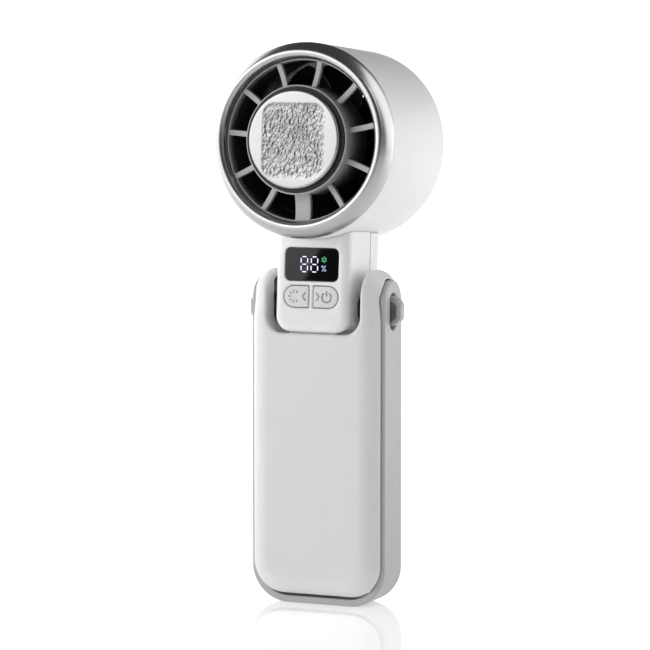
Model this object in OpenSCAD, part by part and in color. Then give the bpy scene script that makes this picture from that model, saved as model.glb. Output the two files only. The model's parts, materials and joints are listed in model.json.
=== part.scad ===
// Handheld cooling fan with a folding head.
// The handle stands on its flat base at z = 0 with the controls facing -Y.
// The head and neck fold backwards on two hinge pins in the fork of the handle.

/* [Handle] */
// Width across the side frame
handle_w = 51.5; // [51.3:0.1:52.2]
// Depth from the front panel to the rear panel
handle_d = 26; // [26:0.1:27]
// Width of the front and rear shells
shell_w = 51.1; // [50.6:0.1:51.2]
// Depth of the side frame
frame_d = 15.9; // [15.5:0.1:16.2]
// Wall of the side frame
frame_wall = 2.5; // [2.4:0.1:2.6]
// Corner radius at the base of the side frame
base_r = 13.5; // [12.5:0.5:14]
// Wall of the moulded shells
wall = 1.8; // [1.6:0.1:1.9]
// Height of the two fork arms
arm_top = 120; // [119.5:0.5:121]

/* [Fork and hinge] */
// Width of the slot between the fork arms
slot_w = 36; // [35.6:0.1:36.4]
// Height of the slot floor at the front lip
slot_floor = 97.3; // [96.8:0.1:97.4]
// Height of the slot floor at the back, under the folded neck
rear_floor = 90.2; // [89.8:0.1:90.4]
// Height of the hinge axis
pivot_z = 106; // [105.8:0.1:106.2]
// Radius of a hinge pin
pin_r = 3; // [2.6:0.1:3.2]
// Running clearance round a hinge pin
pin_gap = 0.05; // [0.02:0.01:0.08]
// Backward lean of the head at rest, in degrees
head_lean = 3.6; // [2:0.1:4.5]

/* [Neck] */
// Width of the neck
neck_w = 28.4; // [28:0.1:28.6]
// Distance from the hinge axis to the front of the neck
neck_front = 14.15; // [14:0.05:14.3]
// Distance from the hinge axis to the back of the neck
neck_back = 14.6; // [14.2:0.1:14.6]
// Height of the underside of the neck
neck_base = 97.2; // [97.1:0.1:97.6]
// Seam between the two neck shells, behind the hinge axis
neck_seam = 4.8; // [4.7:0.1:5.4]
// Button travel
button_travel = 0.5; // [0.3:0.1:0.5]

/* [Head] */
// Height of the head axis
head_z = 164.4; // [164:0.1:165]
// Outer radius of the head housing
head_r = 34.3; // [34.2:0.1:34.6]
// Front edge of the housing along the head axis
housing_front = -23.5; // [-23.8:0.1:-23.2]
// Rear face of the housing along the head axis
housing_rear = 26; // [25.8:0.1:26.4]
// Inner radius of the air duct
duct_r = 28.6; // [28.4:0.1:28.8]
// Number of grille spokes
spoke_count = 11; // [9:2:13]
// Width of a grille spoke
spoke_w = 2; // [1.6:0.1:2.4]
// Turn of the grille, anticlockwise from the front, in degrees
grille_turn = 3; // [0:0.5:6]
// Width of the bottom spoke, which carries the plate cable
cable_spoke_w = 5.9; // [5.4:0.1:6.4]
// Outer radius of the hub ring
hub_r = 19.1; // [18.9:0.1:19.4]
// Radius of the cold plate
plate_r = 17.1; // [16.8:0.1:17.3]
// Number of impeller blades
blade_count = 9; // [7:1:11]

/* [Hidden] */
$fn = 64;

shell_white = [0.87, 0.87, 0.86];
head_white = [0.93, 0.93, 0.92];
frame_grey = [0.66, 0.67, 0.68];
grille_grey = [0.55, 0.56, 0.57];
black_plastic = [0.07, 0.07, 0.08];
silver_satin = [0.78, 0.79, 0.8];
steel = [0.72, 0.73, 0.75];
board_green = [0.08, 0.32, 0.2];

shell_half = shell_w / 2;
panel_r = 8.1;
panel_z0 = 2;
dome_r = 11;
arch_r = frame_d / 2;
arch_z = 108.3;
slot_half = slot_w / 2;
slot_r = 6.5;
fold_r = 15.1;
barrel_r = neck_front - 0.05;
barrel_inset = 5;
lip_r = barrel_r + 0.5;
slot_wall_end = -5.4;
yoke_front = slot_wall_end + 0.2;
seat_half = neck_w / 2 + 0.3;
cheek_x0 = slot_half + 0.3;
cheek_x1 = cheek_x0 + 2;
neck_half = neck_w / 2;
neck_wall = 1.8;
neck_top = head_z - 28;
face_y = -neck_front;
inner_face_y = face_y + neck_wall;
board_y = inner_face_y + 1.85;
hub_wall = 0.7;
shaft_r = 1;
shaft_gap = 0.02;
frame_gap = 0.1;
handle_screw_at = [[17, 83], [15, 11]];
boss_end = 7;
screw_seat = 10.2;
yoke_z0 = 86;
cell_y = 0.9;
cell_z0 = 14.6;
cell_r = 9.1;
cell_h = 64.6;
main_board_y = -9.6;
port_z = 8.4;
bridge_z = 127.9;
wire_y = 1;
neck_screw_y = [-7.2, 9.6];
bush_r = 4.4;
duct_front = -25.3;
bead_r = 1.2;
bead_y = -29.1;
shoulder_y = 21;
rear_seat_r = 28.2;
head_screw_r = 31.25;
bearing_r = 3.05;
tube_r = 4.3;

// ---- Placing and drawing helpers ----

// Extrudes an outline drawn in X and Z between two depths along Y.
module slab(y0, y1) {
    translate([0, y1, 0]) rotate([90, 0, 0]) linear_extrude(height = y1 - y0) children();
}

// Extrudes an outline drawn in Y and Z between two stations along X.
module beam(x0, x1) {
    translate([x0, 0, 0]) rotate([90, 0, 90]) linear_extrude(height = x1 - x0) children();
}

// Extrudes an outline drawn in X and Y between two heights.
module column(z0, z1) {
    translate([0, 0, z0]) linear_extrude(height = z1 - z0) children();
}

// A box between two opposite corners.
module block(low, high) {
    translate(low) cube(high - low);
}

// A rod along X through the point [y, z].
module rod_x(x0, x1, y, z, r) {
    translate([x0, y, z]) rotate([0, 90, 0]) cylinder(h = x1 - x0, r = r);
}

// A rod along Y through the point [x, z].
module rod_y(y0, y1, x, z, r) {
    translate([x, y0, z]) rotate([-90, 0, 0]) cylinder(h = y1 - y0, r = r);
}

// Draws its children on the left and on the right.
module both_sides() {
    for (side = [0, 1]) mirror([side, 0, 0]) children();
}

// Leans the neck and head back about the hinge axis.
module lean() {
    translate([0, 0, pivot_z]) rotate([-head_lean, 0, 0]) translate([0, 0, -pivot_z]) children();
}

// Turns an outline of [radius, depth] about the head axis.
module turned() {
    lean() translate([0, 0, head_z]) rotate([-90, 0, 0]) rotate_extrude() children();
}

// A ring about the head axis.
module ring(y0, y1, r0, r1) {
    turned() translate([r0, y0]) square([r1 - r0, y1 - y0]);
}

// Places its children round the head axis, count times, from the bottom, turned anticlockwise.
module round_head(count, first = 0, last = -1, turn = 0) {
    for (i = [first : last < 0 ? count - 1 : last]) {
        lean() translate([0, 0, head_z]) rotate([0, i * 360 / count - turn, 0]) children();
    }
}

// A rectangle with round corners, from [a0, b0] to [a1, b1].
module soft_rect(a0, b0, a1, b1, r) {
    translate([a0 + r, b0]) square([a1 - a0 - 2 * r, b1 - b0]);
    translate([a0, b0 + r]) square([a1 - a0, b1 - b0 - 2 * r]);
    for (a = [a0 + r, a1 - r], b = [b0 + r, b1 - r]) translate([a, b]) circle(r);
}

// A rectangle whose lower corners have one radius and upper corners another.
module two_radius_rect(half, b0, b1, low_r, high_r) {
    translate([-half, b0 + low_r]) square([2 * half, b1 - b0 - low_r - high_r]);
    translate([low_r - half, b0]) square([2 * (half - low_r), low_r + 1]);
    translate([high_r - half, b1 - high_r - 1]) square([2 * (half - high_r), high_r + 1]);
    for (side = [-1, 1]) {
        translate([side * (half - low_r), b0 + low_r]) circle(low_r);
        translate([side * (half - high_r), b1 - high_r]) circle(high_r);
    }
}

// Points on an arc about c, from angle a0 to angle a1.
function arc(c, r, a0, a1, steps = 8) =
    [for (i = [0 : steps]) let (a = a0 + (a1 - a0) * i / steps) c + r * [cos(a), sin(a)]];

// Points on a shallow arc of radius r from a to b, which bulges to the right of that way.
function bowed(a, b, r, steps = 8) =
    let (
        way = (b - a) / norm(b - a),
        rise = sqrt(r * r - pow(norm(b - a) / 2, 2)),
        c = (a + b) / 2 + rise * [-way[1], way[0]]
    )
    arc(c, r, atan2(a[1] - c[1], a[0] - c[0]), atan2(b[1] - c[1], b[0] - c[0]), steps);

// A cross-head screw along +Y: the head sits at y = 0 and the shank runs to -length.
module pan_screw(length, shank_r, head_r, head_h) {
    rotate([90, 0, 0]) cylinder(h = length, r = shank_r);
    difference() {
        rotate([-90, 0, 0]) cylinder(h = head_h, r = head_r);
        for (turn = [0, 90]) {
            rotate([0, turn, 0]) translate([-head_r * 0.6, head_h * 0.5, -0.25])
                cube([head_r * 1.2, head_h, 0.5]);
        }
    }
}

// ---- Handle ----

// The pillow-sided block that both handle shells are cut from, drawn in by t on every side.
module handle_envelope(t = 0) {
    half_d = handle_d / 2 - t;
    intersection() {
        slab(-handle_d, handle_d)
            two_radius_rect(shell_half - t, panel_z0 + t, arm_top - t, base_r - 1 - t, 7 - t);
        column(-1, arm_top + 1)
            soft_rect(t - shell_half, -half_d, shell_half - t, half_d, panel_r - t);
        beam(-handle_w, handle_w)
            two_radius_rect(half_d, panel_z0 + t, arm_top - t, panel_r - t, dome_r - t);
    }
}

// Side view of the frame: a strip with a round top.
module arch_outline(r, low = -1) {
    translate([-r, low]) square([2 * r, arch_z - low]);
    translate([0, arch_z]) circle(r);
}

// The slot between the fork arms: a front lip, a round seat behind it and a low open back.
module fork_slot() {
    slab(-handle_d, handle_d) two_radius_rect(slot_half, slot_floor, arm_top + 20, slot_r, slot_r);
    rod_x(-seat_half, seat_half, 0, pivot_z, lip_r);
    block([-slot_half, 0, rear_floor], [slot_half, handle_d, arm_top]);
}

// Outline of the slot with its walls, for a slot floor at the given height.
module slot_wall_outline(floor_z) {
    two_radius_rect(slot_half + wall, floor_z - wall, arm_top + 20, slot_r + wall, slot_r);
}

// Front part of the envelope: it ends at the side frame and wraps over its arches.
module front_half(t = 0) {
    difference() {
        handle_envelope(t);
        beam(-handle_w, handle_w) arch_outline(arch_r + frame_gap);
        block([-handle_w, arch_r, -1], [handle_w, handle_d, arm_top + 1]);
    }
}

// Rear part of the envelope, behind the side frame.
module rear_half() {
    intersection() {
        handle_envelope();
        block([-handle_w, arch_r + frame_gap, -1], [handle_w, handle_d, arm_top + 1]);
    }
}

module handle_front_shell() {
    color(shell_white) difference() {
        union() {
            difference() {
                front_half();
                handle_envelope(wall);
            }
            intersection() {
                front_half();
                slab(-handle_d, arch_r) slot_wall_outline(slot_floor);
            }
            intersection() {
                handle_envelope();
                slab(-handle_d, slot_wall_end) slot_wall_outline(slot_floor);
            }
            for (p = handle_screw_at) {
                both_sides() rod_y(-handle_d / 2 + 1, boss_end, p[0], p[1], 2.4);
            }
        }
        fork_slot();
        for (p = handle_screw_at) both_sides() rod_y(-6, boss_end + 1, p[0], p[1], 0.95);
    }
}

module handle_rear_shell() {
    color(shell_white) difference() {
        union() {
            difference() {
                rear_half();
                handle_envelope(wall);
            }
            intersection() {
                rear_half();
                slab(0, handle_d) slot_wall_outline(rear_floor);
            }
            for (p = handle_screw_at) both_sides() rod_y(boss_end, 12, p[0], p[1], 2.8);
        }
        fork_slot();
        slab(cell_y + cell_r, handle_d) soft_rect(-4.8, port_z - 1.95, 4.8, port_z + 1.95, 1.9);
        for (p = handle_screw_at) {
            both_sides() rod_y(boss_end - 1, handle_d, p[0], p[1], 1.15);
            both_sides() rod_y(screw_seat, handle_d, p[0], p[1], 2.1);
        }
    }
}

module handle_screws() {
    color(steel) for (p = handle_screw_at) {
        both_sides() translate([p[0], screw_seat, p[1]]) pan_screw(12, 0.95, 2, 1.3);
    }
}

module side_frame() {
    color(frame_grey) difference() {
        intersection() {
            slab(-handle_d, handle_d) two_radius_rect(handle_w / 2, 0, arm_top + 5, base_r, 3);
            beam(-handle_w, handle_w) arch_outline(arch_r);
        }
        slab(-handle_d, handle_d)
            two_radius_rect(handle_w / 2 - frame_wall, frame_wall, arm_top + 9, base_r - frame_wall, 3);
        both_sides() beam(handle_w / 2 - 4, handle_w / 2 + 1) soft_rect(-3.1, 98.6, 3.1, 111.7, 3);
    }
}

// A staple-shaped bar on a plate behind the frame, for a wrist strap.
module strap_bar() {
    plate_x = handle_w / 2 - frame_wall;
    outer = [
        [plate_x - 1, 99.6], [plate_x + 2, 100.2], [plate_x + 6.05, 102.5],
        [plate_x + 6.05, 108.4], [plate_x + 2, 110.7], [plate_x - 1, 111.3]
    ];
    inner = [
        [plate_x, 102], [plate_x + 2.6, 102.2], [plate_x + 4.2, 103.3],
        [plate_x + 4.2, 107.6], [plate_x + 2.6, 108.7], [plate_x, 108.9]
    ];
    slab(-2, 2) difference() {
        polygon(outer);
        polygon(inner);
    }
    beam(plate_x - 1.6, plate_x - 0.05) soft_rect(-4.6, 97.2, 4.6, 113.1, 1.5);
}

module strap_bar_left() {
    color(frame_grey) mirror([1, 0, 0]) strap_bar();
}

module strap_bar_right() {
    color(frame_grey) strap_bar();
}

// Dark bracket inside the fork: two cheeks that hold the pins and a round seat under the neck.
module hinge_yoke() {
    color(black_plastic) difference() {
        union() {
            both_sides() beam(cheek_x0, cheek_x1) arch_outline(arch_r - 0.1, yoke_z0);
            block([-cheek_x1, yoke_front, yoke_z0], [cheek_x1, arch_r - 0.1, slot_floor - wall - 0.2]);
        }
        block([-handle_w, -handle_d, 0], [handle_w, yoke_front, arm_top]);
        rod_x(-cheek_x0, cheek_x0, 0, pivot_z, fold_r + 0.1);
        block([-cheek_x0, 0, rear_floor - 0.1], [cheek_x0, handle_d, arm_top]);
        rod_x(-handle_w, handle_w, 0, pivot_z, pin_r);
    }
}

// A hollow pin, so that the wires reach the head through the hinge.
module hinge_pin() {
    difference() {
        union() {
            rod_x(neck_half - 5, cheek_x1, 0, pivot_z, pin_r);
            rod_x(cheek_x1, cheek_x1 + 1.1, 0, pivot_z, pin_r + 1.4);
        }
        rod_x(0, handle_w, 0, pivot_z, 1.6);
    }
}

module hinge_pin_left() {
    color(steel) mirror([1, 0, 0]) hinge_pin();
}

module hinge_pin_right() {
    color(steel) hinge_pin();
}

// Sprung washers on the pins, which give the fold its friction.
module friction_washers() {
    color(steel) both_sides() difference() {
        rod_x(neck_half + 1.7, cheek_x0, 0, pivot_z, 5.2);
        rod_x(0, handle_w, 0, pivot_z, pin_r);
    }
}

module battery_cells() {
    color([0.2, 0.42, 0.62]) both_sides() translate([9.3, cell_y, cell_z0]) {
        cylinder(h = cell_h, r = cell_r);
        translate([0, 0, cell_h]) cylinder(h = 0.5, r = 3);
    }
}

// Nickel strips that join the cells at both ends.
module battery_tabs() {
    color([0.8, 0.78, 0.72]) {
        block([-13, cell_y - 3, cell_z0 - 0.3], [13, cell_y + 3, cell_z0]);
        block([-13, cell_y - 3, cell_z0 + cell_h + 0.5], [13, cell_y + 3, cell_z0 + cell_h + 0.8]);
    }
}

module battery_foam() {
    color([0.25, 0.25, 0.27]) block([-13, cell_y + cell_r, 20], [13, handle_d / 2 - wall, 74]);
}

module main_board() {
    color(board_green) block([-14, main_board_y - 1, 20], [14, main_board_y, 74]);
}

// Chips, coil and connectors that stand on the main board between the cells.
module board_parts() {
    color([0.12, 0.12, 0.13]) {
        for (z = [26, 38, 50, 62]) {
            block([-2.5, main_board_y, z], [2.5, main_board_y + 1.2, z + 6]);
        }
        block([-3, main_board_y, 69], [3, main_board_y + 2.4, 73]);
    }
}

module charge_board() {
    color(board_green) block([-9, -6, port_z - 2.65], [9, 9, port_z - 1.65]);
}

// Charging socket that faces backwards, with its tongue.
module charge_port() {
    color(steel) difference() {
        slab(5, 12.2) soft_rect(-4.47, port_z - 1.63, 4.47, port_z + 1.63, 1.6);
        slab(6.2, 13) soft_rect(-4.17, port_z - 1.33, 4.17, port_z + 1.33, 1.3);
    }
    color(black_plastic) block([-3.3, 6.2, port_z - 0.35], [3.3, 11.2, port_z + 0.35]);
}

// ---- Neck ----

// Side view of the neck box: straight front, flat underside, and a back corner round the hinge axis.
module neck_side_outline(t) {
    translate([t - neck_front, neck_base + t]) square([neck_front - t, 40]);
    translate([0, pivot_z]) square([neck_back - t, 32]);
    intersection() {
        translate([0, pivot_z]) circle(neck_back - t);
        translate([0, neck_base + t]) square([neck_back, pivot_z - neck_base]);
    }
}

// The solid neck with its barrel round the hinge axis, drawn in by t on every side.
module neck_envelope(t = 0) {
    half = neck_half - t;
    rod_x(barrel_inset - half, half - barrel_inset, 0, pivot_z, barrel_r - t);
    intersection() {
        slab(-40, 40) two_radius_rect(half, neck_base + t, neck_top + 10, 5.5 - t, 1);
        column(neck_base - 1, neck_top + 5)
            soft_rect(-half, t - neck_front, half, neck_back - t, 3 - t);
        beam(-40, 40) neck_side_outline(t);
    }
}

// The slice of the hollow neck between two depths, with a bridge under the head housing.
module neck_shell(y0, y1) {
    difference() {
        intersection() {
            neck_envelope();
            block([-20, y0, pivot_z - 20], [20, y1, neck_top]);
        }
        difference() {
            neck_envelope(neck_wall);
            block([-20, -20, bridge_z], [20, 20, bridge_z + 2]);
        }
        rod_y(-40, 40, 0, head_z, head_r);
        translate([0, wire_y, bridge_z - 1]) cylinder(h = 9, r = 2.6);
    }
}

// The right-hand half of the button pill, grown outwards by grow.
module button_outline(grow = 0) {
    intersection() {
        soft_rect(-10.3 - grow, 106 - grow, 10.3 + grow, 113.5 + grow, 3.7 + grow);
        translate([0.95 - grow, 90]) square([20, 40]);
    }
}

module neck_front_shell() {
    color(head_white) lean() difference() {
        union() {
            neck_shell(-neck_front, neck_seam);
            translate([0, neck_screw_y[0], bridge_z - 6]) cylinder(h = 7, r = 2.2);
        }
        slab(face_y - 1, face_y + 1.15) soft_rect(-10.35, 115.15, 10.35, 127.05, 2.2);
        slab(face_y - 1, face_y + 3) soft_rect(-9.3, 116.2, 9.3, 126, 1.5);
        both_sides() slab(face_y - 1, face_y + 3) button_outline(0.2);
        rod_x(-20, 20, 0, pivot_z, bush_r);
        translate([0, neck_screw_y[0], bridge_z - 5]) cylinder(h = 9, r = 0.9);
    }
}

module neck_rear_shell() {
    color(head_white) lean() difference() {
        union() {
            neck_shell(neck_seam, neck_back);
            translate([0, neck_screw_y[1], bridge_z - 6]) cylinder(h = 7, r = 2.2);
        }
        translate([0, neck_screw_y[1], bridge_z - 5]) cylinder(h = 9, r = 0.9);
    }
}

// A flanged bush that turns on the hinge pin.
module hinge_bush() {
    difference() {
        union() {
            rod_x(neck_half - 4, neck_half, 0, pivot_z, bush_r);
            rod_x(neck_half, neck_half + 1.4, 0, pivot_z, bush_r + 1);
        }
        rod_x(0, handle_w, 0, pivot_z, pin_r + pin_gap);
    }
}

module hinge_bush_left() {
    color(black_plastic) mirror([1, 0, 0]) hinge_bush();
}

module hinge_bush_right() {
    color(black_plastic) hinge_bush();
}

module display_window() {
    color([0.03, 0.03, 0.035]) lean()
        slab(face_y + 0.05, face_y + 1.15) soft_rect(-10.3, 115.2, 10.3, 127, 2.15);
}

// Segment display between the window and the control board.
module display_module() {
    color([0.2, 0.2, 0.22]) lean() block([-9, face_y + 1.2, 116.5], [9, board_y, 125.7]);
}

module control_board() {
    color(board_green) lean() block([-12, board_y, 101.5], [12, board_y + 0.8, 127.5]);
}

// Two tact switches, one behind each button, just clear of its flange at full travel.
module button_switches() {
    color([0.15, 0.15, 0.16]) lean() both_sides() {
        block([3.6, board_y - 0.6, 107.7], [7.6, board_y, 111.7]);
        rod_y(inner_face_y + 0.65 + button_travel, board_y - 0.6, 5.6, 109.7, 1);
    }
}

// A button cap with a flange that keeps it behind the face of the neck.
module button_cap() {
    slab(face_y - 0.15, inner_face_y + 0.1) button_outline();
    slab(inner_face_y + 0.05, inner_face_y + 0.6) button_outline(0.7);
}

module left_button() {
    color(head_white) lean() mirror([1, 0, 0]) button_cap();
}

module right_button() {
    color(head_white) lean() button_cap();
}

// Screws from inside the housing into the two neck shells.
module neck_screws() {
    color(steel) lean() for (y = neck_screw_y) {
        translate([0, y, head_z - head_r + 2.05]) rotate([90, 0, 0]) pan_screw(8, 0.9, 1.8, 1.2);
    }
}

// ---- Head ----

module head_housing() {
    back_c = [head_r - 4.2, housing_rear - 4.2];
    color(head_white) difference() {
        turned() polygon(concat(
            [[head_r - 2, housing_front], [head_r, housing_front]],
            arc(back_c, 4.2, 0, 90),
            [[rear_seat_r, housing_rear], [rear_seat_r, shoulder_y], [head_r - 2, shoulder_y]]
        ));
        lean() {
            translate([0, wire_y, head_z - head_r - 1]) cylinder(h = 4, r = 2.6);
            for (y = neck_screw_y) translate([0, y, head_z - head_r - 1]) cylinder(h = 4, r = 0.95);
        }
        round_head(4) rod_y(shoulder_y - 1, shoulder_y + 4, 0, -head_screw_r, 0.6);
    }
}

// Front ring: a cove, a round bead at the very front and a bowed outer face.
module front_bezel() {
    bead_c = [duct_r + bead_r + 0.5, bead_y];
    bead_end = bead_c + bead_r * [cos(-30), sin(-30)];
    color(silver_satin) turned() polygon(concat(
        [[duct_r, duct_front], [duct_r + 0.35, -28]],
        arc(bead_c, bead_r, 170, 320, 10),
        bowed(bead_end, [head_r, housing_front], 20),
        [[head_r - 2, housing_front], [head_r - 2, duct_front]]
    ));
}

// Front or rear edge of a spoke, which sags backwards between the duct and the hub ring.
function spoke_edge(y) = bowed([duct_r - 0.4, y - 0.2], [hub_r - 0.3, y], 16);

module spoke_outline() {
    rear = spoke_edge(-24.3);
    polygon(concat(spoke_edge(-26.1), [for (i = [len(rear) - 1 : -1 : 0]) rear[i]]));
}

module grille_spoke(width) {
    rotate([0, 90, 0]) translate([0, 0, -width / 2]) linear_extrude(height = width) spoke_outline();
}

module front_grille() {
    color(grille_grey) difference() {
        union() {
            ring(-30.2, -12, hub_r - hub_wall, hub_r);
            ring(-26, -22, duct_r - 0.7, duct_r);
            round_head(spoke_count, 1, turn = grille_turn) grille_spoke(spoke_w);
            round_head(1, turn = grille_turn) grille_spoke(cable_spoke_w);
        }
        round_head(1, turn = grille_turn) block([-2.2, -23.6, -hub_r - 0.2], [2.2, -22.75, 1 - hub_r]);
    }
}

module cold_plate() {
    color([0.82, 0.83, 0.84]) turned() polygon([
        [0, -32.7], [plate_r - 0.6, -32.7], [plate_r, -32.1], [plate_r, -30.8],
        [plate_r - 0.9, -30.8], [plate_r - 0.9, -29.2], [0, -29.2]
    ]);
}

module plate_gasket() {
    color([0.12, 0.12, 0.12]) ring(-30.7, -29.4, plate_r - 0.9, hub_r - hub_wall);
}

// The thermoelectric cooler pressed between the plate and the heat sink.
module cooling_module() {
    color([0.9, 0.9, 0.88]) lean() block([-11, -29.2, head_z - 11], [11, -25.6, head_z + 11]);
}

module heat_sink() {
    color([0.7, 0.71, 0.72]) difference() {
        union() {
            ring(-25.6, -23.4, 0, hub_r - hub_wall);
            intersection() {
                ring(-23.5, -13, 0, hub_r - hub_wall - 0.4);
                lean() for (x = [-15 : 3 : 15]) {
                    block([x - 0.5, -23.5, head_z - hub_r], [x + 0.5, -13, head_z + hub_r]);
                }
            }
        }
        round_head(1, turn = grille_turn) block([-2.3, -26, -hub_r], [2.3, -12, -17]);
    }
}

// Flat cable that turns back past the heat sink and runs out behind the wide bottom spoke.
module plate_cable() {
    color([0.85, 0.5, 0.15]) round_head(1, turn = grille_turn) rotate([0, 90, 0]) translate([0, 0, -2])
        linear_extrude(height = 4) polygon([
            [11.25, -27.75], [17.8, -27.75], [17.8, -23.45], [duct_r - 0.75, -23.45],
            [duct_r - 0.75, -22.9], [17.25, -22.9], [17.25, -27.2], [11.25, -27.2]
        ]);
}

module air_duct() {
    color(black_plastic) difference() {
        turned() polygon([
            [duct_r, duct_front + 0.05], [head_r - 2.05, duct_front + 0.05],
            [head_r - 2.05, duct_front + 1.5], [duct_r + 1.6, duct_front + 1.5],
            [duct_r + 1.6, shoulder_y - 1.5], [head_r - 2.05, shoulder_y - 1.5],
            [head_r - 2.05, shoulder_y], [duct_r, shoulder_y]
        ]);
        round_head(4) rod_y(shoulder_y - 2, shoulder_y + 1, 0, -head_screw_r, 0.65);
    }
}

module head_screws() {
    color(steel) round_head(4) translate([0, shoulder_y - 1.5, -head_screw_r])
        rotate([180, 0, 0]) pan_screw(5, 0.6, 0.85, 0.8);
}

module rear_grille() {
    color(black_plastic) {
        ring(24, 25.7, rear_seat_r - 1.8, rear_seat_r);
        ring(24, 25.7, 0, 5);
        for (r = [9 : 4 : 25]) ring(24.2, 25.5, r - 0.5, r + 0.5);
        round_head(8) block([-0.6, 24.2, -rear_seat_r + 1], [0.6, 25.5, -4]);
    }
}

// ---- Motor and impeller ----

// Fixed vanes that hold the motor in the middle of the duct.
module motor_mount() {
    color(black_plastic) {
        turned() polygon([
            [bearing_r, -3.4], [tube_r, -3.4], [tube_r, 9.4], [15.5, 9.4], [16.5, 10.4],
            [16.5, 17], [15.3, 17], [15.3, 10.9], [bearing_r, 10.9]
        ]);
        ring(10, 17.4, duct_r - 0.8, duct_r);
        intersection() {
            ring(10.6, 16.8, 16, duct_r - 0.4);
            round_head(7) rotate([0, 0, -25]) block([-0.6, 8, -duct_r], [0.6, 22, -14]);
        }
    }
}

// Lamination outline: a core ring with nine teeth and their shoes.
module stator_outline() {
    difference() {
        circle(6.2);
        circle(tube_r);
    }
    for (i = [0 : 8]) rotate(i * 40) translate([-0.9, -10.6]) square([1.8, 4.8]);
    intersection() {
        difference() {
            circle(11.7);
            circle(10.4);
        }
        for (i = [0 : 8]) rotate(i * 40) translate([-3.2, -12]) square([6.4, 2.2]);
    }
}

module motor_stator() {
    color([0.5, 0.5, 0.52]) lean() translate([0, 0, head_z]) slab(-3, 4) stator_outline();
}

// A copper coil round each stator tooth.
module motor_windings() {
    color([0.72, 0.4, 0.2]) round_head(9) difference() {
        block([-1.5, -4, -10.2], [1.5, 5, -6.6]);
        block([-0.9, -3, -11], [0.9, 4, -5]);
    }
}

module motor_board() {
    color(board_green) ring(8.3, 9.3, tube_r + 0.05, 12);
}

module motor_bearings() {
    color(steel) {
        ring(-3.2, -0.8, shaft_r + shaft_gap, bearing_r);
        ring(6, 8.4, shaft_r + shaft_gap, bearing_r);
    }
}

// Hub cup with inclined blades.
module impeller() {
    color([0.1, 0.1, 0.11]) {
        turned() polygon([
            [0, -9], [14.5, -9], [16.5, -7], [16.5, 8], [14.9, 8], [14.9, -7.4],
            [2.6, -7.4], [2.6, -3.8], [shaft_r, -3.8], [shaft_r, -8], [0, -8]
        ]);
        intersection() {
            ring(-8, 7.6, 16, duct_r - 0.6);
            round_head(blade_count) rotate([0, 0, 38]) block([-0.6, -11, -duct_r - 1], [0.6, 11, -14]);
        }
    }
}

module rotor_cup() {
    color(steel) turned() polygon([
        [2.6, -7.4], [14.9, -7.4], [14.9, 7.8], [13.9, 7.8], [13.9, -6.4], [2.6, -6.4]
    ]);
}

module rotor_magnets() {
    color([0.25, 0.25, 0.27]) ring(-5.4, 6.4, 12.2, 13.9);
}

module motor_shaft() {
    color(steel) ring(-8, 9.6, 0, shaft_r);
}

// ---- Nodes ----

side_frame();
handle_front_shell();
handle_rear_shell();
hinge_yoke();
hinge_pin_left();
hinge_pin_right();
friction_washers();
strap_bar_left();
strap_bar_right();
handle_screws();
battery_cells();
battery_tabs();
battery_foam();
main_board();
board_parts();
charge_board();
charge_port();
neck_front_shell();
neck_rear_shell();
hinge_bush_left();
hinge_bush_right();
display_window();
display_module();
control_board();
button_switches();
left_button();
right_button();
neck_screws();
head_housing();
front_bezel();
front_grille();
air_duct();
rear_grille();
cold_plate();
plate_gasket();
cooling_module();
heat_sink();
plate_cable();
motor_mount();
motor_stator();
motor_windings();
motor_board();
motor_bearings();
head_screws();
impeller();
rotor_cup();
rotor_magnets();
motor_shaft();
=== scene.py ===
import json
import math
from itertools import product

import bmesh
import bpy
import numpy as np
from mathutils import Matrix, Vector, noise


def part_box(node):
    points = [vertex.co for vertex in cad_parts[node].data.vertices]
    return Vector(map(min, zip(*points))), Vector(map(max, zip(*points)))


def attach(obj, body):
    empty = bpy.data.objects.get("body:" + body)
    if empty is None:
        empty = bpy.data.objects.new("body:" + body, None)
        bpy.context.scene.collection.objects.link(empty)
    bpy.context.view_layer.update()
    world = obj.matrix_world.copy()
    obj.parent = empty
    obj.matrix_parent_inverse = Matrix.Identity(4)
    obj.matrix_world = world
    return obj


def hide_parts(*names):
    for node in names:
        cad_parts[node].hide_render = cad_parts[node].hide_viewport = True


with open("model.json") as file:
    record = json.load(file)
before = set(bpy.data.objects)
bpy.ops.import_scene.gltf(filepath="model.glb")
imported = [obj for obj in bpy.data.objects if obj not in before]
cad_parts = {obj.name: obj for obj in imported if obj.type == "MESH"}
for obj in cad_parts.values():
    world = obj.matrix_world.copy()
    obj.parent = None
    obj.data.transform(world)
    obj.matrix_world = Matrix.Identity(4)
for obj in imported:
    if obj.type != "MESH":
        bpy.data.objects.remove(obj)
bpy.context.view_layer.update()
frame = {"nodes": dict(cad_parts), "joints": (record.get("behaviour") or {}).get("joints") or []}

MM = 0.001

# ---- The frame, in millimetres ----

JOINTS = {joint["name"]: joint for joint in frame["joints"]}


def box_mm(node):
    """Lowest and highest corner of a CAD node at rest, in millimetres."""
    low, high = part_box(node)
    return np.array(low) / MM, np.array(high) / MM


HUB = np.array(JOINTS["impeller_spin"]["pos_m"]) / MM
AXIS = np.array(JOINTS["impeller_spin"]["axis"])
PIVOT_Z = JOINTS["head_fold"]["pos_m"][2] / MM
LEAN = math.atan2(-AXIS[2], AXIS[1])
HEAD_Z = PIVOT_Z + (HUB[2] - PIVOT_Z) / math.cos(LEAN)

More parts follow.
